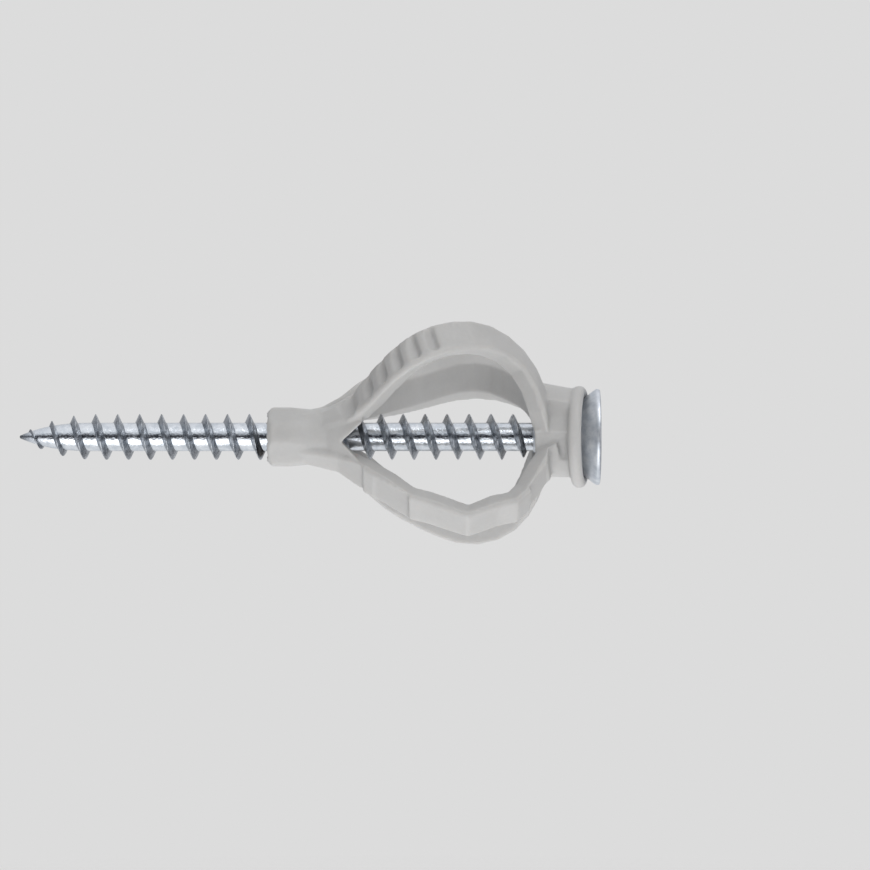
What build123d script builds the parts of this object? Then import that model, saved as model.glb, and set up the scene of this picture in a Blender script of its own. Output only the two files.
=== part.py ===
"""Universal wall plug for an 8 mm hole, set by its 5 x 60 countersunk screw.

The plug is one nylon moulding: a rim that rests on the wall, a short collar, four legs that
have bowed outward, and a nose sleeve that the screw has formed its thread in.

Frame: the origin is the centre of the rim's underside, +X points out of the wall along the
collar, +Z is up.  The screw has pulled the nose askew, so the screw, the nose and the legs
share a second frame, turned about Z by ASKEW.  In that frame an azimuth is measured round
the screw from the front (-Y), positive toward +Z.
"""
from build123d import *
from math import cos, radians, sin, sqrt, tan
import os

os.makedirs("parts", exist_ok=True)

# ---- sizes, mm and degrees ----------------------------------------------------------------
ASKEW = 8.0                 # screw axis from the collar axis, about Z

# screw
SCREW_TIP_X = -56.95
SCREW_TIP_R = 0.08
HEAD_FACE_X = 2.8
HEAD_R = 4.95
HEAD_EDGE = 0.4             # cylindrical edge of the head
HEAD_CHAMFER = 0.12         # at the rim of the head's face
HEAD_CONE = 37.5            # half angle of the countersink
NECK_X = 0.3                # where the countersink meets the slimmer neck
SHANK_R = 1.6
SHANK_X = -3.9              # where the neck meets the shank
CORE_R = 1.46               # thread root
THREAD_R = 2.37
THREAD_PITCH = 2.264
THREAD_FLANK = 24.0         # half angle of the thread form
THREAD_BITE = 0.1           # thread form sunk into the core
THREAD_SIDES = 16           # flats in one turn of the thread and round the core
TIP_THREAD_X = -55.95       # first turn
TIP_THREAD_R = 1.03
TIP_CONE_X = -50.35         # tip cone meets the parallel core
THREAD_FADE_X = -5.35       # last full turn
THREAD_END_X = -4.1
DRIVE_SPAN = 4.8            # cross recess, across the wings
DRIVE_WING = 1.15           # wing thickness
DRIVE_DEPTH = 2.7
DRIVE_TAPER = 0.36          # floor size over mouth size

# running gaps between screw and plug
THREAD_GAP = 0.05
SEAT_GAP = 0.05

# rim and collar
RIM_R = 5.26
RIM_T = 1.4
RIM_ROUND = 0.6             # edge rounding, in three steps
RIM_LIP_R = 4.6             # where the front face turns in to the head's seat
RIM_LIP_DROP = 0.35
RIM_LIP_RUN = 0.65          # width of the turned-in lip
COLLAR_R = 4.19
COLLAR_END_X = -3.5
SLOT_AZIMUTH = -14.0        # first of the four slots between the collar pads
SLOT_W = 2.9
SLOT_FLOOR_R = 3.7
SLOT_TO_X = -0.15
PAD_R = 5.0                 # the pad that the upper front leg has dragged outward
PAD_FLARE_R = 5.65
PAD_FOOT = 30.0             # azimuth where the pad starts to rise from the collar
PAD_BEND = 38.5             # and where its slope steepens, past the rim's flat underside
PAD_FROM = 45.0
PAD_TO = 97.0

# nose
NOSE_END_X = -31.65
NOSE_ROOT_X = -21.6          # webs between the legs end here
NOSE_NOTCH_X = -23.75        # and the notch in each web starts here
NOSE_R = 3.05
NOSE_STEP_X = -29.05         # the sleeve narrows from here to its waist
NOSE_WAIST_X = -27.05
NOSE_WAIST_R = 2.85
NOSE_NOTCH_R = 3.8
NOSE_FLARE = 1.5             # the sleeve opens over this length toward the notches
NOSE_ROOT_R = 5.3            # flare where the legs leave the sleeve
NOTCH_AZIMUTHS = (-8, 84, -175, -97)
NOSE_CHAMFER = 0.7
NOSE_FLAT = 2.76            # centre to flat
NOSE_FLAT_AZIMUTH = 37.0

# legs
LEG_W = 4.2                 # across the outer face
LEG_B_W = 5.2               # the upper rear leg is the broad one
LEG_TAPER = 1.8             # narrower by this much across the inner face, times leg width / 4.2
LEG_T = 2.0
LEG_CHAMFER = 0.35
LEG_HOLLOW = 0.12           # imprint of the bore on the inner face
LEG_NOSE_W = 2.4            # width where a leg leaves the nose
LEG_COLLAR_W = 4.0          # width where it meets the collar
LEG_PARTS = 16              # straight runs along a smooth leg
LEG_A_ROLL = -10.0          # how far a leg has rolled about its own run at the crown
LEG_B_ROLL = 20.0
WALL_CLEAR = 2.02           # legs stay this far behind the wall face outside the collar

JOIN = 0.5                  # parts of the moulding run this far into each other
CUT_PAST = 1.0              # cutters run this far past the face they open

# outer face of each leg, nose to collar: x, radius, azimuth
BOW_A = ((-28.15, 2.7, 37), (-24.35, 3.6, 40), (-19.85, 9.3, 42), (-15.55, 13.1, 46),
         (-11.35, 13.0, 54), (-7.35, 10.9, 65), (-4.45, 8.1, 66), (-3.0, 5.6, 50), (-2.3, 3.6, 36))
BOW_B = ((-28.15, 2.7, 127), (-24.35, 4.2, 135), (-19.85, 9.4, 151), (-15.35, 13.2, 155),
         (-10.75, 14.0, 152), (-7.0, 13.0, 151), (-4.5, 9.8, 147), (-3.0, 5.8, 135),
         (-2.3, 3.6, 127))
BOW_C = ((-28.15, 2.7, -53), (-24.15, 3.8, -51), (-21.65, 5.8, -50), (-19.35, 7.4, -51),
         (-17.15, 9.1, -53), (-15.15, 9.6, -54), (-10.85, 11.2, -55), (-7.75, 9.9, -55),
         (-5.75, 9.4, -55), (-4.35, 7.8, -56), (-3.1, 5.6, -51), (-2.2, 4.4, -43),
         (-1.4, 3.9, -38))
BOW_D = ((-28.15, 2.7, -143), (-24.15, 3.6, -139), (-19.85, 8.4, -135), (-15.15, 11.8, -132),
         (-10.55, 13.5, -131), (-6.75, 12.5, -132), (-4.15, 9.5, -135), (-2.85, 5.8, -140),
         (-2.3, 3.6, -143))
AZIMUTH_SCALE = 0.1         # mm of spline per degree, when a leg is smoothed

# V-shaped pockets across the nose half of leg A: place as a fraction of its run, and length
POCKETS_A = ((0.165, 2.7), (0.255, 1.65), (0.325, 1.6), (0.39, 1.65), (0.45, 1.65), (0.505, 1.65))
FAINT_POCKETS_A = ((0.56, 1.6), (0.61, 1.6))
POCKET_DEPTH = 0.65         # at the lower end
FAINT_DEPTH = 0.12
POCKET_RUNOUT = 0.2         # depth left at the leg's upper edge
POCKET_CREST = 0.9          # from the mid line to where the bottom starts to come up
POCKET_FOOT = 1.6           # from the leg's mid line to the point of the lower end
POCKET_POINT = 0.6          # length of the pointed end
POCKET_VEE = 0.15           # the bottom of the V lies this far toward the collar
POCKET_LEAN = 18.0          # the pockets run askew across the leg

# wedge-shaped dents across leg C: place, length, and depth at the nose and the collar end
DENTS_C = ((0.176, 3.3, 0.02, 0.4), (0.338, 4.3, 0.02, 0.4), (0.89, 3.4, 0.4, 0.02))
DENT_LAND = 0.25            # left uncut at the upper edge


def radial(azimuth):
    """Unit vector out from the screw axis at an azimuth."""
    return Vector(0, -cos(radians(azimuth)), sin(radians(azimuth)))


def around(azimuth):
    """Unit vector round the screw axis, toward rising azimuth."""
    return Vector(0, sin(radians(azimuth)), cos(radians(azimuth)))


def turned(profile):
    """Solid of revolution about X from a closed run of (x, radius) points."""
    return revolve(make_face(Polyline(profile, close=True)), Axis.X)


def flat_sided(rows):
    """Solid bounded by the first and last of some rows of corners and by flats between them."""
    faces = [Face(Wire.make_polygon(rows[0])), Face(Wire.make_polygon(rows[-1]))]
    for row, following in zip(rows, rows[1:]):
        for corner in range(len(row)):
            after = (corner + 1) % len(row)
            faces.append(Face(Wire.make_polygon([row[corner], row[after], following[after]])))
            faces.append(Face(Wire.make_polygon([row[corner], following[after], following[corner]])))
    return Solid(Shell(faces))


def askew(shape):
    """Move a shape from the screw's frame to the collar's frame."""
    return shape.rotate(Axis.Z, ASKEW)


# ---- screw ----------------------------------------------------------------------------------
def head_line(grow=0.0):
    """Outline under the head from neck end to head edge, (x, radius), grown outward."""
    edge_x = HEAD_FACE_X - HEAD_EDGE
    neck_r = HEAD_R - (edge_x - NECK_X) * tan(radians(HEAD_CONE))
    return [(SHANK_X, SHANK_R + grow), (NECK_X, neck_r + grow), (edge_x, HEAD_R + grow)]


def screw_blank():
    """Head and neck, without the drive."""
    outline = [(SHANK_X, 0)] + head_line()
    outline += [(HEAD_FACE_X - HEAD_CHAMFER, HEAD_R), (HEAD_FACE_X, HEAD_R - HEAD_CHAMFER)]
    outline += [(HEAD_FACE_X, 0)]
    return turned(outline)


def crest_radius(x):
    """Radius of the thread crest: rising from the tip, parallel, then running out at the neck."""
    rise = (THREAD_R - TIP_THREAD_R) / (TIP_CONE_X - TIP_THREAD_X)
    fade = (THREAD_R - CORE_R) / (THREAD_END_X - THREAD_FADE_X)
    tip = TIP_THREAD_R + rise * (x - TIP_THREAD_X)
    neck = THREAD_R - fade * (x - THREAD_FADE_X)
    return min(tip, THREAD_R, neck)


def thread_row(step):
    """Crest and root corners of the thread at one step round the axis, screw built along Z."""
    x = TIP_THREAD_X + THREAD_PITCH * step / THREAD_SIDES
    angle = radians(180 + 360 * step / THREAD_SIDES)
    out = Vector(cos(angle), sin(angle), 0)
    crest = crest_radius(x)
    root = max(crest - (THREAD_R - CORE_R + THREAD_BITE), 0.05)
    spread = (crest - root) * tan(radians(THREAD_FLANK))
    return [out * crest + Vector(0, 0, x), out * root + Vector(0, 0, x - spread),
            out * root + Vector(0, 0, x + spread)]


def thread_ridge():
    """The thread as one closed shell of flats."""
    steps = int((THREAD_END_X - TIP_THREAD_X) / THREAD_PITCH * THREAD_SIDES)
    return flat_sided([thread_row(step) for step in range(steps + 1)])


def screw_core():
    """Root of the thread, from the tip to inside the neck."""
    swell = 1 / sqrt(cos(radians(180 / THREAD_SIDES)))
    tip_root_r = TIP_THREAD_R - (THREAD_R - CORE_R) + SCREW_TIP_R
    stations = [(SCREW_TIP_X, SCREW_TIP_R), (TIP_THREAD_X, tip_root_r), (TIP_CONE_X, CORE_R),
                (SHANK_X + THREAD_BITE, CORE_R)]
    rings = [Pos(0, 0, x) * RegularPolygon(r * swell, THREAD_SIDES) for x, r in stations]
    return loft(rings, ruled=True)


def drive_recess():
    """Cross recess in the head face, cut as a tapered cross."""
    span = DRIVE_SPAN / 2
    wing = DRIVE_WING / 2
    quarter = [(wing, wing), (wing, span), (-wing, span)]
    cross = []
    for turn in range(4):
        for x, y in quarter:
            for _ in range(turn):
                x, y = -y, x
            cross.append((x, y))
    small = [(x * DRIVE_TAPER, y * DRIVE_TAPER) for x, y in cross]
    mouth_plane = Plane(origin=(HEAD_FACE_X + 0.01, 0, 0), x_dir=(0, 1, 0), z_dir=(1, 0, 0))
    floor_plane = mouth_plane.offset(-DRIVE_DEPTH)
    mouth = mouth_plane * make_face(Polyline(cross, close=True))
    floor = floor_plane * make_face(Polyline(small, close=True))
    return loft([mouth, floor], ruled=True)


def make_screw():
    """Countersunk chipboard screw, right-hand thread."""
    shank = Rotation(0, 90, 0) * (screw_core() + thread_ridge())
    return askew((shank + screw_blank()) - drive_recess())


# ---- plug -----------------------------------------------------------------------------------
def leg_section(station, run, width, roll=0.0):
    """Wedge-shaped section of a leg, square to its run; the origin lies on the outer face."""
    x, r, azimuth = station
    along = Vector(1, 0, 0) * run[0] + radial(azimuth + roll) * run[1]
    origin = Vector(x, 0, 0) + radial(azimuth) * r
    plane = Plane(origin=origin, x_dir=around(azimuth + roll), z_dir=along)
    half = width / 2
    inner = half - LEG_TAPER / 2 * width / LEG_W
    outline = [(-half, -LEG_CHAMFER), (-half + LEG_CHAMFER, 0), (half - LEG_CHAMFER, 0),
               (half, -LEG_CHAMFER), (inner, -LEG_T), (0, -LEG_T + LEG_HOLLOW), (-inner, -LEG_T)]
    return plane * make_face(Polyline(outline, close=True))


def smoothed(bow):
    """More stations of a leg, taken from a smooth curve through the given ones."""
    curve = run_line(bow, True)
    points = [curve @ (i / LEG_PARTS) for i in range(LEG_PARTS + 1)]
    return [(p.X, p.Y, p.Z / AZIMUTH_SCALE) for p in points]


def leg_runs(stations):
    """Direction of the leg at each station, in its own plane of x and radius."""
    runs = []
    for i in range(len(stations)):
        before = stations[max(i - 1, 0)]
        after = stations[min(i + 1, len(stations) - 1)]
        run = Vector(after[0] - before[0], after[1] - before[1]).normalized()
        runs.append((run.X, run.Y))
    return runs


def bow_rise(bow, r):
    """How far a radius lies from the nose's (0) to the crown of a leg (1)."""
    crown_r = max(station[1] for station in bow)
    return min(max((r - NOSE_R) / (crown_r - NOSE_R), 0), 1)


def make_leg(stations, full_w=LEG_W, roll=0.0):
    """One bowed leg, straight between its stations."""
    sections = []
    for station, run in zip(stations, leg_runs(stations)):
        rise = bow_rise(stations, station[1])
        root_w = LEG_COLLAR_W if station[0] > NOSE_ROOT_X / 2 else LEG_NOSE_W
        width = root_w + (full_w - root_w) * min(rise * 3, 1)
        sections.append(leg_section(station, run, width, roll * rise))
    return loft(sections, ruled=True)


def make_nose():
    """Sleeve round the screw, flattened in line with the legs."""
    sleeve = turned([(NOSE_END_X, 0), (NOSE_END_X, NOSE_R - NOSE_CHAMFER),
                     (NOSE_END_X + NOSE_CHAMFER, NOSE_R), (NOSE_STEP_X, NOSE_R),
                     (NOSE_WAIST_X, NOSE_WAIST_R), (NOSE_WAIST_X, 0)])
    length = NOSE_WAIST_X - NOSE_END_X
    flats = Box(length + 2 * CUT_PAST, 2 * NOSE_FLAT, 2 * NOSE_FLAT)
    flats = Location((NOSE_END_X + length / 2, 0, 0)) * flats
    sleeve = sleeve & flats.rotate(Axis.X, NOSE_FLAT_AZIMUTH)
    flare = turned([(NOSE_WAIST_X - JOIN, 0), (NOSE_WAIST_X - JOIN, NOSE_FLAT),
                    (NOSE_NOTCH_X - NOSE_FLARE, NOSE_R), (NOSE_NOTCH_X, NOSE_NOTCH_R),
                    (NOSE_ROOT_X, NOSE_ROOT_R), (NOSE_ROOT_X, 0)])
    for azimuth in NOTCH_AZIMUTHS:
        flare = flare - notch(azimuth)
    return sleeve + flare


def notch(azimuth):
    """V-shaped prism between two legs, its edge pointing at the nose."""
    side = NOSE_ROOT_R * 2
    prism = Box(side, side, NOSE_ROOT_R * 2).rotate(Axis.Z, 45)
    prism = Location((NOSE_NOTCH_X + side / sqrt(2), 0, NOSE_ROOT_R)) * prism
    return prism.rotate(Axis.X, 90 - azimuth)


def sector(profile, start, stop):
    """Part of a solid of revolution between two azimuths."""
    face = make_face(Polyline(profile, close=True))
    face = face.rotate(Axis.X, 180 - start)
    return revolve(face, Axis.X, -(stop - start))


def rim_line():
    """Outline of the rim from the wall face round to the seat, (x, radius)."""
    cut = RIM_ROUND * (1 - cos(radians(60)))
    far = RIM_ROUND * (1 - sin(radians(60)))
    back = [(0, RIM_R - RIM_ROUND), (far, RIM_R - cut), (cut, RIM_R - far), (RIM_ROUND, RIM_R)]
    front = [(RIM_T - x, r) for x, r in reversed(back)]
    lip = [(RIM_T, RIM_LIP_R), (RIM_T - RIM_LIP_DROP, RIM_LIP_R - RIM_LIP_RUN)]
    return back + front + lip


def pad_slope():
    """The dragged pad's lower side, sloping down to the collar."""
    rows = []
    for x, pad_r in ((COLLAR_END_X, PAD_FLARE_R), (0, PAD_R), (JOIN, PAD_R)):
        corners = [(THREAD_R, PAD_FOOT), (COLLAR_R, PAD_FOOT), (RIM_R - RIM_ROUND, PAD_BEND),
                   (pad_r, PAD_FROM), (THREAD_R, PAD_FROM)]
        rows.append([Vector(x, 0, 0) + radial(azimuth) * r for r, azimuth in corners])
    return flat_sided(rows)


def make_collar():
    """Rim and collar, with the slots and the dragged pad."""
    rim = turned([(0, 0)] + rim_line() + [(RIM_T - RIM_LIP_DROP, 0)])
    collar = turned([(COLLAR_END_X, 0), (COLLAR_END_X, COLLAR_R), (JOIN, COLLAR_R), (JOIN, 0)])
    for quarter in range(4):
        slot = Box(SLOT_TO_X - COLLAR_END_X + CUT_PAST, SLOT_W, SLOT_W)
        slot_x = (COLLAR_END_X - CUT_PAST + SLOT_TO_X) / 2
        slot = Location((slot_x, 0, SLOT_FLOOR_R + SLOT_W / 2)) * slot
        collar = collar - slot.rotate(Axis.X, 90 - (SLOT_AZIMUTH + 90 * quarter))
    pad = [(COLLAR_END_X, THREAD_R), (COLLAR_END_X, PAD_FLARE_R), (0, PAD_R), (JOIN, PAD_R),
           (JOIN, THREAD_R)]
    return rim + (collar + sector(pad, PAD_FROM, PAD_TO) + pad_slope())


def wall_room():
    """Ring behind the wall face that the legs keep out of, wider than every bow."""
    crown_r = max(r for bow in (BOW_A, BOW_B, BOW_C, BOW_D) for x, r, azimuth in bow)
    return turned([(-WALL_CLEAR, COLLAR_R), (-WALL_CLEAR, 2 * crown_r),
                   (RIM_T + CUT_PAST, 2 * crown_r), (RIM_T + CUT_PAST, COLLAR_R)])


def bore():
    """Everything the screw passes through, with its running gaps."""
    bore_r = THREAD_R + THREAD_GAP
    seat = head_line(SEAT_GAP * 1.25)
    slope = (seat[1][1] - seat[0][1]) / (seat[1][0] - seat[0][0])
    start_x = seat[0][0] + (bore_r - seat[0][1]) / slope
    outline = [(NOSE_END_X - CUT_PAST, 0), (NOSE_END_X - CUT_PAST, bore_r), (start_x, bore_r)]
    outline += seat[1:] + [(HEAD_FACE_X + CUT_PAST, HEAD_R), (HEAD_FACE_X + CUT_PAST, 0)]
    return turned(outline)


def pocket(length, depth):
    """One pocket's cutter: a V that is pointed at its lower end and runs out at its upper."""
    rows = []
    stations = ((-POCKET_FOOT, 0.05, 0.05), (-POCKET_FOOT + POCKET_POINT, 1, depth),
                (POCKET_CREST, 1, depth), (LEG_W / 2, 1, min(depth, POCKET_RUNOUT)))
    for across, size, floor in stations:
        half = length / 2 * size
        rows.append([Vector(across, LEG_T, -half), Vector(across, 0, -half),
                     Vector(across, -floor, POCKET_VEE * size), Vector(across, 0, half),
                     Vector(across, LEG_T, half)])
    return flat_sided(rows).rotate(Axis.Y, POCKET_LEAN)


def dent(length, nose_depth, collar_depth):
    """One dent's cutter: a wedge across a leg, from its lower edge to a land at its upper."""
    across = LEG_W / 2 - DENT_LAND
    outline = [(-nose_depth, -length / 2), (-collar_depth, length / 2), (LEG_T, length / 2),
               (LEG_T, -length / 2)]
    side = Plane(origin=(-LEG_W, 0, 0), x_dir=(0, 1, 0), z_dir=(1, 0, 0))
    return extrude(side * make_face(Polyline(outline, close=True)), LEG_W + across)


def run_line(bow, smooth):
    """A leg's run as a line in x, radius and scaled azimuth."""
    points = [(x, r, azimuth * AZIMUTH_SCALE) for x, r, azimuth in bow]
    return Spline(points) if smooth else Polyline(points)


def face_plane(bow, smooth, part, roll=0.0):
    """Plane on a leg's outer face, a fraction along its run: X across the leg, Z along it."""
    line = run_line(bow, smooth)
    here = line @ part
    run = line % part
    azimuth = here.Z / AZIMUTH_SCALE
    facing = azimuth + roll * bow_rise(bow, here.Y)
    along = Vector(1, 0, 0) * run.X + radial(facing) * run.Y
    origin = Vector(here.X, 0, 0) + radial(azimuth) * here.Y
    return Plane(origin=origin, x_dir=around(facing), z_dir=along)


def leg_cutters():
    """Pockets across leg A and dents across leg C."""
    cutters = []
    for pockets, depth in ((POCKETS_A, POCKET_DEPTH), (FAINT_POCKETS_A, FAINT_DEPTH)):
        for part, length in pockets:
            place = face_plane(BOW_A, True, part, LEG_A_ROLL)
            cutters.append(place.location * pocket(length, depth))
    for part, length, nose_depth, collar_depth in DENTS_C:
        place = face_plane(BOW_C, False, part)
        cutters.append(place.location * dent(length, nose_depth, collar_depth))
    return cutters


def make_plug():
    """The one-piece moulding."""
    legs = [make_leg(smoothed(BOW_A), LEG_W, LEG_A_ROLL), make_leg(smoothed(BOW_B), LEG_B_W, LEG_B_ROLL),
            make_leg(BOW_C), make_leg(smoothed(BOW_D))]
    body = askew(make_nose())
    for leg in legs:
        body = body + (askew(leg) - wall_room())
    body = body + make_collar()
    for cutter in leg_cutters():
        body = body - askew(cutter)
    return body - askew(bore())


if __name__ == "__main__":
    export_step(make_screw(), "parts/screw.step")
    export_step(make_plug(), "parts/plug.step")
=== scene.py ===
"""Looks of the wall plug and its screw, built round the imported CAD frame."""
import math

import bpy
import bmesh
from mathutils import Matrix, Vector, noise


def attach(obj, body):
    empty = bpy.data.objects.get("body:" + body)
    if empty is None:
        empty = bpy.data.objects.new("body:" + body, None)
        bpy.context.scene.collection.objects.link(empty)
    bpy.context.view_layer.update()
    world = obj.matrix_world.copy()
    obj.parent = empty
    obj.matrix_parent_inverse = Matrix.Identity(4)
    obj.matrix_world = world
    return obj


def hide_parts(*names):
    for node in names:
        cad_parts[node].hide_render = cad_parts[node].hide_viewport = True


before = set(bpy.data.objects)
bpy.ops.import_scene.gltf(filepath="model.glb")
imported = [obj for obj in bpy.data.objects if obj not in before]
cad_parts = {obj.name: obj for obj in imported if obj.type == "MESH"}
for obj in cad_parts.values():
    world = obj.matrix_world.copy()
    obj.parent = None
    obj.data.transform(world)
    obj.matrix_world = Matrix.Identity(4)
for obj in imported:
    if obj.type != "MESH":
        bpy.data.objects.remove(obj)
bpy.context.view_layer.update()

MM = 0.001
ASKEW = math.radians(8.0)      # the screw's axis lies this far from the collar's, about Z
TO_SCREW = Matrix.Rotation(ASKEW, 4, "Z")

# screw, mm, along its own axis: as the CAD solid, with a fuller tip and a finer thread
TIP_X = -56.95
TIP_R = 0.14
POINT = 0.05                   # length of the blunt point that closes it
CONE_X = -49.2                 # the tip's taper starts here
CORE_R = 1.46                  # thread root
CORE_FULLNESS = 2.6            # power of the taper: above 1 the tip is fuller than a cone
CORE_RUN_X = (-40, -30, -20, -10, -4.0, -3.4)      # rings along the parallel core
CORE_END_X = -3.3              # inside the neck

PITCH = 2.264
FIRST_TURN_X = -55.95
FADE_X = -5.35                 # the crest starts to run out here
END_X = -4.1
THREAD_R = 2.37
TIP_THREAD_R = 0.78            # crest at the first turn
FLANK = math.tan(math.radians(24.0))
FIRST_TURN_ANGLE = math.radians(180)
ROOT_SUNK = 0.04               # the thread's foot lies this deep in the core
CREST_WAVE = 0.022             # the crest is uneven by this much
CREST_WAVE_RATE = 1.7          # pace of the noise along the axis, a mm
CREST_LOW = 0.012              # and this far below its full radius
# half of the thread's section: share of its height, half width over the run of one flank
RIDGE_HALF = [(-0.05, 1.30), (0.03, 1.12), (0.12, 0.93), (0.45, 0.60), (0.80, 0.28), (0.93, 0.15),
              (1.0, 0.05)]

SHANK_R = 1.6
NECK_FROM_X = -3.9
NECK_TO_X = 0.3
NECK_R = 3.34
NECK_END = 0.3                 # the neck's lower end tapers over this length
NECK_END_R = CORE_R - 0.1
NECK_FOOT = ((0.0, 0.0), (0.25, 0.06))             # along from the neck's start, out from SHANK_R
NECK_TOP = ((-0.15, -0.07), (0.1, 0.06))           # along from the neck's end, out from NECK_R
HEAD_X = 2.8                   # face of the head
HEAD_R = 4.95
HEAD_EDGE = 0.4                # parallel edge of the head
CONE_START = 0.1               # the countersink's rings start this far past the neck
CONE_STOP = 0.08               # and stop this far before the edge
CONE_RINGS = 11
RING_DEPTH = 0.012             # every other one is turned this deep
EDGE_BACK = ((0.02, 0.02), (0.12, 0.0))            # along from the edge's start, in from HEAD_R
EDGE_FRONT = ((0.14, 0.01), (0.05, 0.06), (0.005, 0.16), (0.0, 0.4))   # behind the face, in from HEAD_R
FACE_RINGS_R = (3.2, 2.6)      # rings in the flat face, round the recess
PLATING_R = 0.05               # edges of the recess are rounded by this much

DRIVE_REACH = 2.4              # cross recess, from the axis to a wing's end
DRIVE_WING = 0.575             # half a wing's thickness
DRIVE_DEPTH = 2.7
DRIVE_TAPER = 0.36             # floor size over mouth size
DRIVE_CORNER = (0.97, 0.8)     # a wing's end corners are cut at these shares of reach and wing
DRIVE_POINT = 0.35             # the floor falls to a point this much deeper
CUT_PAST = 0.3                 # the cutter stands this far out of the face

TIP_DARK_RUN = 1.1                 # the plate darkens over this length of the tip
TIP_DARK_GREY = 0.22               # to this share of its brightness
SKIN_STEP = 0.172              # mesh size of the plug's skin

# meshes
SHARP_FROM = math.radians(32.0)    # edges that turn by more than this stay sharp
RIDGE_STEPS = 48               # in one turn of the thread
SWELL_STEPS = 16               # along the tip's taper
CORE_SIDES = 64
HEAD_SIDES = 96

# studio, metres and brightness; the viewer is on the minus side of Y, the screw's head on plus X
BACKGROUND = (0.716, 0.716, 0.716)
# soft light from the minus and from the plus side of each axis
SOFT_LIGHT = {"X": (0.10, 0.37), "Y": (0.58, 0.52), "Z": (1.48, 0.83)}
# what the metal mirrors of the viewer's side, from below to above: a dark band between light walls
ROOM = [(0.0, (0.70, 0.71, 0.72)), (0.22, (1.05, 1.06, 1.08)), (0.35, (0.95, 0.96, 0.98)),
        (0.415, (0.005, 0.005, 0.01)), (0.63, (0.005, 0.005, 0.01)), (0.72, (0.50, 0.52, 0.55)),
        (0.84, (0.88, 0.90, 0.92)), (1.0, (0.80, 0.81, 0.83))]
# and of the far side
PAPER = [(0.0, (0.80, 0.81, 0.82)), (0.5, (0.48, 0.49, 0.51)), (1.0, (0.80, 0.81, 0.83))]
ROOM_TO_PAPER = (-0.1, 0.4)    # along Y
# over both, along X: from, to, share and colour of a grey card, a dark one and a bright end
CARDS = [(-0.45, -0.8, 1.0, (0.25, 0.26, 0.28)), (0.35, 0.6, 0.8, (0.08, 0.08, 0.09)),
         (0.88, 0.97, 1.0, (1.3, 1.3, 1.3))]

FLOOR_AT = (-0.02, 0, -0.075)
FLOOR_R = 0.32
FLOOR_FADE = (0.10, 0.30)      # from its middle, the floor turns clear between these radii
FLOOR_COLOUR = (0.86, 0.86, 0.86)
FLOOR_GLOW = (0.10, 0.10, 0.10)

LAMP_AIM = (-0.015, 0, 0)
CAMERA_AIM_X = -0.01418        # along the screw's axis
CAMERA_AIM_Z = 0.0002
CAMERA_DISTANCE = 0.410
CAMERA_WIDTH = 0.0897          # of the view at the screw's axis
SENSOR = 36.0                  # mm, across
CLIP_START = 0.01


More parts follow.
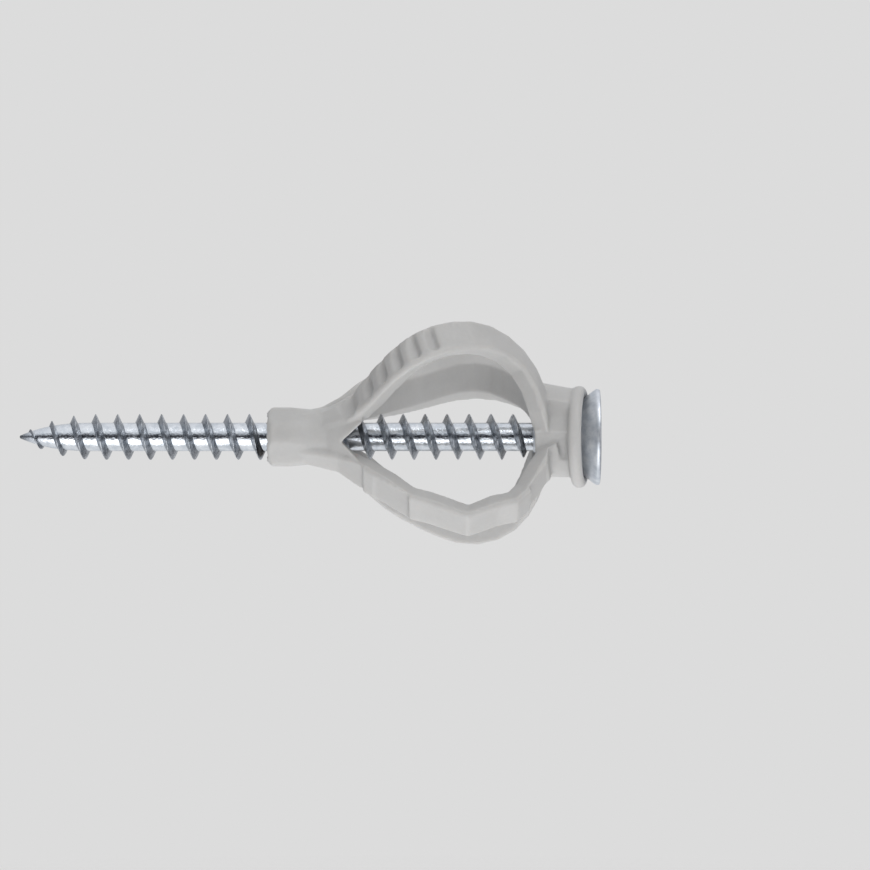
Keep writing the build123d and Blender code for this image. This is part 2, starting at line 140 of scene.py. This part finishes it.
# ---- nodes ----------------------------------------------------------------------------------
class Tree:
    """Short way to lay out a node tree: most methods add a node and give its output."""

    def __init__(self, owner):
        owner.use_nodes = True
        self.tree = owner.node_tree
        self.tree.nodes.clear()

    def node(self, kind, **values):
        made = self.tree.nodes.new(kind)
        for name, value in values.items():
            setattr(made, name, value)
        return made

    def link(self, source, target):
        self.tree.links.new(source, target)

    def feed(self, socket, value):
        """Link the socket or set it, with an alpha added to a colour."""
        if hasattr(value, "is_output"):
            self.link(value, socket)
        elif isinstance(value, tuple):
            socket.default_value = (*value, 1.0)
        else:
            socket.default_value = value

    def split(self, vector):
        made = self.node("ShaderNodeSeparateXYZ")
        self.link(vector, made.inputs["Vector"])
        return made.outputs

    def noise(self, where, scale, detail, rough):
        made = self.node("ShaderNodeTexNoise")
        made.inputs["Scale"].default_value = scale
        made.inputs["Detail"].default_value = detail
        made.inputs["Roughness"].default_value = rough
        self.link(where, made.inputs["Vector"])
        return made.outputs["Fac"]

    def ramp(self, source, stops):
        made = self.node("ShaderNodeValToRGB")
        ramp = made.color_ramp
        while len(ramp.elements) < len(stops):
            ramp.elements.new(0.5)
        for element, (place, colour) in zip(ramp.elements, stops):
            element.position = place
            element.color = (*colour, 1.0)
        self.link(source, made.inputs["Fac"])
        return made.outputs["Color"]

    def mix(self, factor, first, second, kind="MIX"):
        made = self.node("ShaderNodeMix", data_type="RGBA", blend_type=kind)
        sockets = [socket for socket in made.inputs if socket.enabled]
        for socket, value in zip(sockets, (factor, first, second)):
            self.feed(socket, value)
        return [socket for socket in made.outputs if socket.enabled][0]

    def multiply(self, first, second):
        return self.mix(1.0, first, second, "MULTIPLY")

    def math(self, operation, first, second):
        made = self.node("ShaderNodeMath", operation=operation)
        for socket, value in zip(made.inputs, (first, second)):
            self.feed(socket, value)
        return made.outputs["Value"]

    def span(self, source, low, high, to_low, to_high):
        """Value between low and high, carried over to the second range and held at its ends."""
        made = self.node("ShaderNodeMapRange")
        ends = {"From Min": low, "From Max": high, "To Min": to_low, "To Max": to_high}
        for name, value in ends.items():
            made.inputs[name].default_value = value
        self.link(source, made.inputs["Value"])
        return made.outputs["Result"]

    def grey(self, value):
        made = self.node("ShaderNodeCombineColor")
        for socket in made.inputs:
            self.link(value, socket)
        return made.outputs["Color"]

    def painted_hollow_shade(self, distance, closed, clear, dark):
        """Painted shade: white on open faces, falling to dark grey where other faces lie within the
        distance.
        """
        made = self.node("ShaderNodeAmbientOcclusion", samples=8)
        made.inputs["Distance"].default_value = distance
        return self.grey(self.span(made.outputs["AO"], closed, clear, dark, 1.0))

    def bump(self, height, distance, strength, before=None):
        made = self.node("ShaderNodeBump")
        made.inputs["Strength"].default_value = strength
        made.inputs["Distance"].default_value = distance
        self.link(height, made.inputs["Height"])
        if before:
            self.link(before, made.inputs["Normal"])
        return made.outputs["Normal"]

    def blend(self, factor, first, second):
        """One shader over another."""
        made = self.node("ShaderNodeMixShader")
        self.link(factor, made.inputs["Fac"])
        self.link(first, made.inputs[1])
        self.link(second, made.inputs[2])
        return made.outputs["Shader"]

    def finish(self, shader, kind="ShaderNodeOutputMaterial"):
        self.link(shader, self.node(kind).inputs["Surface"])


def new_material(name):
    """Empty material: itself, its tree and the object's own coordinates."""
    material = bpy.data.materials.new(name)
    tree = Tree(material)
    where = tree.node("ShaderNodeTexCoord").outputs["Object"]
    return material, tree, where


def nylon():
    """Moulded nylon: warm pale grey, faintly cloudy and specked, a soft sheen, painted shade in
    hollows.
    """
    material, tree, where = new_material("nylon_moulded")
    cloud = tree.noise(where, scale=180.0, detail=4.0, rough=0.6)
    speck = tree.noise(where, scale=2600.0, detail=2.0, rough=0.7)
    waves = tree.noise(where, scale=420.0, detail=2.0, rough=0.5)
    colour = tree.ramp(cloud, [(0.3, (0.535, 0.531, 0.526)), (0.55, (0.570, 0.567, 0.562)),
                               (0.75, (0.595, 0.593, 0.588))])
    specks = tree.ramp(speck, [(0.3, (0.965, 0.965, 0.965)), (0.7, (1.0, 1.0, 1.0))])
    colour = tree.multiply(colour, specks)
    # painted shade: the nylon's colour darkens where other faces stand near
    colour = tree.multiply(colour, tree.painted_hollow_shade(2.8 * MM, closed=0.15, clear=0.95, dark=0.74))
    shader = tree.node("ShaderNodeBsdfPrincipled")
    tree.link(colour, shader.inputs["Base Color"])
    tree.link(tree.span(cloud, 0.3, 0.7, 0.40, 0.52), shader.inputs["Roughness"])
    shader.inputs["Subsurface Weight"].default_value = 0.35
    shader.inputs["Subsurface Radius"].default_value = (1.0, 0.9, 0.8)
    shader.inputs["Subsurface Scale"].default_value = 1.2 * MM
    shader.inputs["IOR"].default_value = 1.52
    wave = tree.bump(waves, distance=0.12 * MM, strength=0.5)
    grain = tree.bump(speck, distance=0.01 * MM, strength=0.5, before=wave)
    tree.link(grain, shader.inputs["Normal"])
    tree.finish(shader.outputs["BSDF"])
    return material


def zinc(name, bright, rough, relief, hollow, patches=1.0):
    """Zinc plate: bright, faintly blue and mottled, painted shade in hollows, darker towards the tip.

    bright scales the tints and patches the dull ones, rough is the range of the roughness,
    relief scales the dents, and hollow is the grey that the painted shade leaves in the hollows.
    """
    material, tree, where = new_material(name)
    mottle = tree.noise(where, scale=1300.0, detail=4.0, rough=0.65)
    fine = tree.noise(where, scale=5200.0, detail=3.0, rough=0.6)
    dull = tuple(patches * c for c in (0.60, 0.64, 0.69))
    tints = [(0.38, dull), (0.6, (0.74, 0.77, 0.81)), (0.8, (0.84, 0.86, 0.88))]
    colour = tree.ramp(mottle, [(place, tuple(bright * c for c in tint)) for place, tint in tints])
    # the colour darkens towards the tip
    tip_dark = tree.span(tree.split(where)["X"], TIP_X * MM, (TIP_X + TIP_DARK_RUN) * MM, TIP_DARK_GREY, 1.0)
    colour = tree.multiply(colour, tree.grey(tip_dark))
    # painted shade: the plate's colour darkens where other faces stand near
    colour = tree.multiply(colour, tree.painted_hollow_shade(0.9 * MM, closed=0.25, clear=0.9, dark=hollow))
    shader = tree.node("ShaderNodeBsdfPrincipled")
    tree.link(colour, shader.inputs["Base Color"])
    shader.inputs["Metallic"].default_value = 1.0
    tree.link(tree.span(mottle, 0.3, 0.7, *rough), shader.inputs["Roughness"])
    dent = tree.bump(mottle, distance=0.06 * MM * relief, strength=0.6)
    pits = tree.bump(fine, distance=0.03 * MM * relief, strength=0.5, before=dent)
    tree.link(pits, shader.inputs["Normal"])
    tree.finish(shader.outputs["BSDF"])
    return material


# ---- meshes ---------------------------------------------------------------------------------
def add_object(name, data):
    """New object in the scene."""
    made = bpy.data.objects.new(name, data)
    bpy.context.scene.collection.objects.link(made)
    return made


def add_mesh(name, bm):
    """New object from a mesh in the making, which this ends."""
    mesh = bpy.data.meshes.new(name)
    bm.to_mesh(mesh)
    bm.free()
    return add_object(name, mesh)


def add_turned(bm, profile, sides):
    """Closed solid of revolution about X; the profile starts and ends on the axis."""
    first = bm.verts.new((profile[0][0] * MM, 0, 0))
    last = bm.verts.new((profile[-1][0] * MM, 0, 0))
    rings = []
    for x, r in profile[1:-1]:
        rings.append([bm.verts.new((x * MM, -r * MM * math.sin(math.tau * i / sides),
                                    r * MM * math.cos(math.tau * i / sides))) for i in range(sides)])
    for i in range(sides):
        j = (i + 1) % sides
        bm.faces.new((first, rings[0][j], rings[0][i]))
        bm.faces.new((last, rings[-1][i], rings[-1][j]))
        for ring, after in zip(rings, rings[1:]):
            bm.faces.new((ring[i], ring[j], after[j], after[i]))


def piece_from(bm, name, material, body):
    """Piece of the screw that rides on a body, smooth but for its sharp edges."""
    bmesh.ops.recalc_face_normals(bm, faces=bm.faces)
    for face in bm.faces:
        face.smooth = True
    for edge in bm.edges:
        edge.smooth = len(edge.link_faces) != 2 or edge.calc_face_angle() < SHARP_FROM
    piece = add_mesh(name, bm)
    piece.data.materials.append(material)
    piece.matrix_world = TO_SCREW
    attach(piece, body)
    return piece


# ---- the screw's shank -----------------------------------------------------------------------
def core_radius(x):
    """Radius of the thread's root, full behind the tip and swelling quickly from its point."""
    part = max(CONE_X - x, 0) / (CONE_X - TIP_X)
    return CORE_R - (CORE_R - TIP_R) * part ** CORE_FULLNESS


def core_profile():
    """Core from the point to inside the neck, (x, radius)."""
    stations = [TIP_X + (CONE_X - TIP_X) * i / SWELL_STEPS for i in range(SWELL_STEPS + 1)]
    stations += CORE_RUN_X
    return [(TIP_X - POINT, 0)] + [(x, core_radius(x)) for x in stations] + [(CORE_END_X, 0)]


def crest_radius(x):
    """Radius of the thread crest: rising from the tip, parallel, then running out at the neck."""
    part = max(CONE_X - x, 0) / (CONE_X - FIRST_TURN_X)
    tip = THREAD_R - (THREAD_R - TIP_THREAD_R) * part ** 2
    neck = THREAD_R - (THREAD_R - CORE_R) * (x - FADE_X) / (END_X - FADE_X)
    return min(tip, THREAD_R, neck)


def ridge_ring(step):
    """Corners of the thread's section at one step: filleted roots, straight flanks, rounded crest."""
    x = FIRST_TURN_X + PITCH * step / RIDGE_STEPS
    angle = FIRST_TURN_ANGLE + math.tau * step / RIDGE_STEPS
    around = Vector((x * CREST_WAVE_RATE, math.cos(angle), math.sin(angle)))
    crest = crest_radius(x) + (CREST_WAVE * noise.noise(around) - CREST_LOW)
    root = core_radius(x) - ROOT_SUNK
    spread = (crest - root) * FLANK
    ring = [(part, -wide) for part, wide in RIDGE_HALF]
    ring += [(part, wide) for part, wide in reversed(RIDGE_HALF)]
    out = Vector((0, math.sin(angle), -math.cos(angle)))
    return [(out * (root + (crest - root) * part) + Vector((x + spread * wide, 0, 0))) * MM
            for part, wide in ring]


def add_ridge(bm):
    """The thread, closed at both ends."""
    steps = int((END_X - FIRST_TURN_X) / PITCH * RIDGE_STEPS)
    rings = [[bm.verts.new(point) for point in ridge_ring(step)] for step in range(steps + 1)]
    count = len(rings[0])
    for ring, after in zip(rings, rings[1:]):
        for i in range(count):
            j = (i + 1) % count
            bm.faces.new((ring[i], ring[j], after[j], after[i]))
    bm.faces.new(list(reversed(rings[0])))
    bm.faces.new(rings[-1])


def make_shank(material, shaded_flank_material):
    """Core and thread, each in its own material."""
    bm = bmesh.new()
    add_turned(bm, core_profile(), CORE_SIDES)
    core_faces = len(bm.faces)
    add_ridge(bm)
    bm.faces.ensure_lookup_table()
    for face in bm.faces[core_faces:]:
        face.material_index = 1
    piece = piece_from(bm, "screw_shank", material, "screw")
    piece.data.materials.append(shaded_flank_material)
    return piece


# ---- the screw's head ------------------------------------------------------------------------
def head_profile():
    """Neck, countersink with faint turning rings, rounded edge and face, (x, radius)."""
    edge_x = HEAD_X - HEAD_EDGE
    slope = (HEAD_R - NECK_R) / (edge_x - NECK_TO_X)
    cone_x = NECK_TO_X + CONE_START
    cone_run = edge_x - CONE_STOP - cone_x
    profile = [(NECK_FROM_X - NECK_END, radius) for radius in (0, NECK_END_R)]
    profile += [(NECK_FROM_X + along, SHANK_R + outward) for along, outward in NECK_FOOT]
    profile += [(NECK_TO_X + along, NECK_R + outward) for along, outward in NECK_TOP]
    for i in range(1, CONE_RINGS + 1):
        x = cone_x + cone_run * i / CONE_RINGS
        profile.append((x, NECK_R + slope * (x - NECK_TO_X) - (RING_DEPTH if i % 2 else 0.0)))
    profile += [(edge_x + along, HEAD_R - inward) for along, inward in EDGE_BACK]
    profile += [(HEAD_X - behind, HEAD_R - inward) for behind, inward in EDGE_FRONT]
    profile += [(HEAD_X, radius) for radius in (*FACE_RINGS_R, 0)]
    return profile


def cross_ring(bm, x, scale):
    """Outline of the cross at one depth, with each wing's end corners cut."""
    side, end = DRIVE_REACH * DRIVE_CORNER[0], DRIVE_WING * DRIVE_CORNER[1]
    quarter = [(DRIVE_WING, DRIVE_WING), (DRIVE_WING, side), (end, DRIVE_REACH), (-end, DRIVE_REACH),
               (-DRIVE_WING, side)]
    ring = []
    for turn in range(4):
        for a, b in quarter:
            for _ in range(turn):
                a, b = -b, a
            ring.append(bm.verts.new((x * MM, a * scale * MM, b * scale * MM)))
    return ring


def cross_cutter():
    """Tapered cross with a pointed floor, for the drive recess."""
    bm = bmesh.new()
    mouth = cross_ring(bm, HEAD_X + CUT_PAST, 1.0 + CUT_PAST * (1 - DRIVE_TAPER) / DRIVE_DEPTH)
    floor = cross_ring(bm, HEAD_X - DRIVE_DEPTH, DRIVE_TAPER)
    low = bm.verts.new(((HEAD_X - DRIVE_DEPTH - DRIVE_POINT) * MM, 0, 0))
    for i in range(len(mouth)):
        j = (i + 1) % len(mouth)
        bm.faces.new((mouth[i], mouth[j], floor[j], floor[i]))
        bm.faces.new((floor[i], floor[j], low))
    bm.faces.new(mouth)
    bmesh.ops.recalc_face_normals(bm, faces=bm.faces)
    cutter = add_mesh("cross", bm)
    cutter.matrix_world = TO_SCREW
    return cutter


def make_head(material):
    """Neck and head, with the cross recess cut and its edges rounded."""
    bm = bmesh.new()
    add_turned(bm, head_profile(), HEAD_SIDES)
    piece = piece_from(bm, "screw_head", material, "screw")
    cutter = cross_cutter()
    cut = piece.modifiers.new("recess", "BOOLEAN")
    cut.operation = "DIFFERENCE"
    cut.solver = "EXACT"
    cut.object = cutter
    soften = piece.modifiers.new("plating", "BEVEL")
    soften.width = PLATING_R * MM
    soften.segments = 2
    soften.limit_method = "ANGLE"
    soften.angle_limit = math.radians(40)
    bpy.context.view_layer.update()
    finished = piece.evaluated_get(bpy.context.evaluated_depsgraph_get())
    done = bpy.data.meshes.new_from_object(finished)
    piece.modifiers.clear()
    piece.data = done
    bpy.data.objects.remove(cutter)
    return piece


# ---- plug -----------------------------------------------------------------------------------
def dress_plug(material):
    """The CAD solid with its edges rounded as a moulding's are."""
    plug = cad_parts["plug"]
    for slot in plug.material_slots:
        slot.material = material
    skin = plug.modifiers.new("skin", "REMESH")
    skin.mode = "VOXEL"
    skin.voxel_size = SKIN_STEP * MM
    skin.use_smooth_shade = True
    soft = plug.modifiers.new("soft_edges", "SMOOTH")
    soft.factor = 0.5
    soft.iterations = 4


# ---- studio ---------------------------------------------------------------------------------
def soft_light(tree, direction):
    """Even light: the squares of the direction's parts share out each side's brightness."""
    total = 0
    for axis, (minus, plus) in SOFT_LIGHT.items():
        part = direction[axis]
        level = tree.span(tree.math("GREATER_THAN", part, 0.0), 0.0, 1.0, minus, plus)
        square = tree.math("MULTIPLY", part, part)
        total = tree.math("ADD", tree.math("MULTIPLY", square, level), total)
    return tree.grey(total)


def mirrored_room(tree, direction):
    """Light and dark walls for the metal to mirror."""
    height = tree.span(direction["Z"], -1.0, 1.0, 0.0, 1.0)
    far = tree.span(direction["Y"], *ROOM_TO_PAPER, 0.0, 1.0)
    walls = tree.mix(far, tree.ramp(height, ROOM), tree.ramp(height, PAPER))
    for start, full, share, colour in CARDS:
        walls = tree.mix(tree.span(direction["X"], start, full, 0.0, share), walls, colour)
    return walls


def make_world():
    """Plain grey to the viewer, soft light for the rest and a room of its own for mirrored rays."""
    world = bpy.data.worlds.new("studio")
    bpy.context.scene.world = world
    tree = Tree(world)
    direction = tree.split(tree.node("ShaderNodeTexCoord").outputs["Generated"])
    rays = tree.node("ShaderNodeLightPath").outputs
    lit = tree.node("ShaderNodeBackground")
    light = tree.mix(rays["Is Glossy Ray"], soft_light(tree, direction), mirrored_room(tree, direction))
    tree.feed(lit.inputs["Color"], light)
    seen = tree.node("ShaderNodeBackground")
    tree.feed(seen.inputs["Color"], BACKGROUND)
    both = tree.blend(rays["Is Camera Ray"], lit.outputs["Background"], seen.outputs["Background"])
    tree.finish(both, "ShaderNodeOutputWorld")


def floor_paper():
    """Pale paper that turns clear before the floor's edge."""
    material, tree, where = new_material("floor_pale")
    from_middle = tree.node("ShaderNodeVectorMath", operation="LENGTH")
    tree.link(where, from_middle.inputs[0])
    fade = tree.span(from_middle.outputs["Value"], *FLOOR_FADE, 0.0, 1.0)
    paper = tree.node("ShaderNodeBsdfDiffuse")
    tree.feed(paper.inputs["Color"], FLOOR_COLOUR)
    glow = tree.node("ShaderNodeEmission")
    tree.feed(glow.inputs["Color"], FLOOR_GLOW)
    both = tree.node("ShaderNodeAddShader")
    tree.link(paper.outputs["BSDF"], both.inputs[0])
    tree.link(glow.outputs["Emission"], both.inputs[1])
    clear = tree.node("ShaderNodeBsdfTransparent")
    tree.finish(tree.blend(fade, both.outputs["Shader"], clear.outputs["BSDF"]))
    return material


def make_floor():
    """Floor well below the part, which neither shades nor lights it."""
    bm = bmesh.new()
    bmesh.ops.create_circle(bm, cap_ends=True, segments=96, radius=FLOOR_R)
    floor = add_mesh("floor", bm)
    floor.data.materials.append(floor_paper())
    floor.location = FLOOR_AT
    floor.visible_shadow = False
    floor.visible_glossy = False
    floor.visible_diffuse = False


def add_lamp(name, at, size, power):
    """Round soft lamp, turned to the plug."""
    data = bpy.data.lights.new(name, "AREA")
    data.shape = "DISK"
    data.size = size
    data.energy = power
    lamp = add_object(name, data)
    lamp.location = at
    lamp.rotation_euler = (Vector(LAMP_AIM) - Vector(at)).to_track_quat("-Z", "Y").to_euler()


def make_camera():
    """Level view, square to the screw's axis."""
    data = bpy.data.cameras.new("camera")
    data.sensor_width = SENSOR
    data.lens = SENSOR * CAMERA_DISTANCE / CAMERA_WIDTH
    data.clip_start = CLIP_START
    aim = TO_SCREW @ Vector((CAMERA_AIM_X, 0, CAMERA_AIM_Z))
    at = TO_SCREW @ Vector((CAMERA_AIM_X, -CAMERA_DISTANCE, CAMERA_AIM_Z))
    camera = add_object("camera", data)
    camera.location = at
    camera.rotation_euler = (aim - at).to_track_quat("-Z", "Y").to_euler()
    bpy.context.scene.camera = camera


# ---- scene ----------------------------------------------------------------------------------
bpy.context.scene.view_settings.view_transform = "Standard"
make_camera()
rolled = zinc("zinc_rolled", bright=1.13, rough=(0.10, 0.26), relief=1.3, hollow=0.7)
# the thread's zinc: a dimmer copy with darker patches and deep painted shade, standing in for shade on
# its flanks
flank = zinc("zinc_flank_painted_shade", bright=0.90, rough=(0.20, 0.38), relief=1.4, hollow=0.34, patches=0.58)
turned = zinc("zinc_turned", bright=1.13, rough=(0.40, 0.46), relief=0.15, hollow=0.9)
shank = make_shank(rolled, flank)
head = make_head(turned)
for piece in (shank, head):
    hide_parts("screw")
dress_plug(nylon())
make_world()
make_floor()
add_lamp("key_low", at=(-0.05, -0.30, -0.28), size=0.30, power=0.30)
add_lamp("fill_right", at=(0.15, -0.15, 0.30), size=0.25, power=0.29)
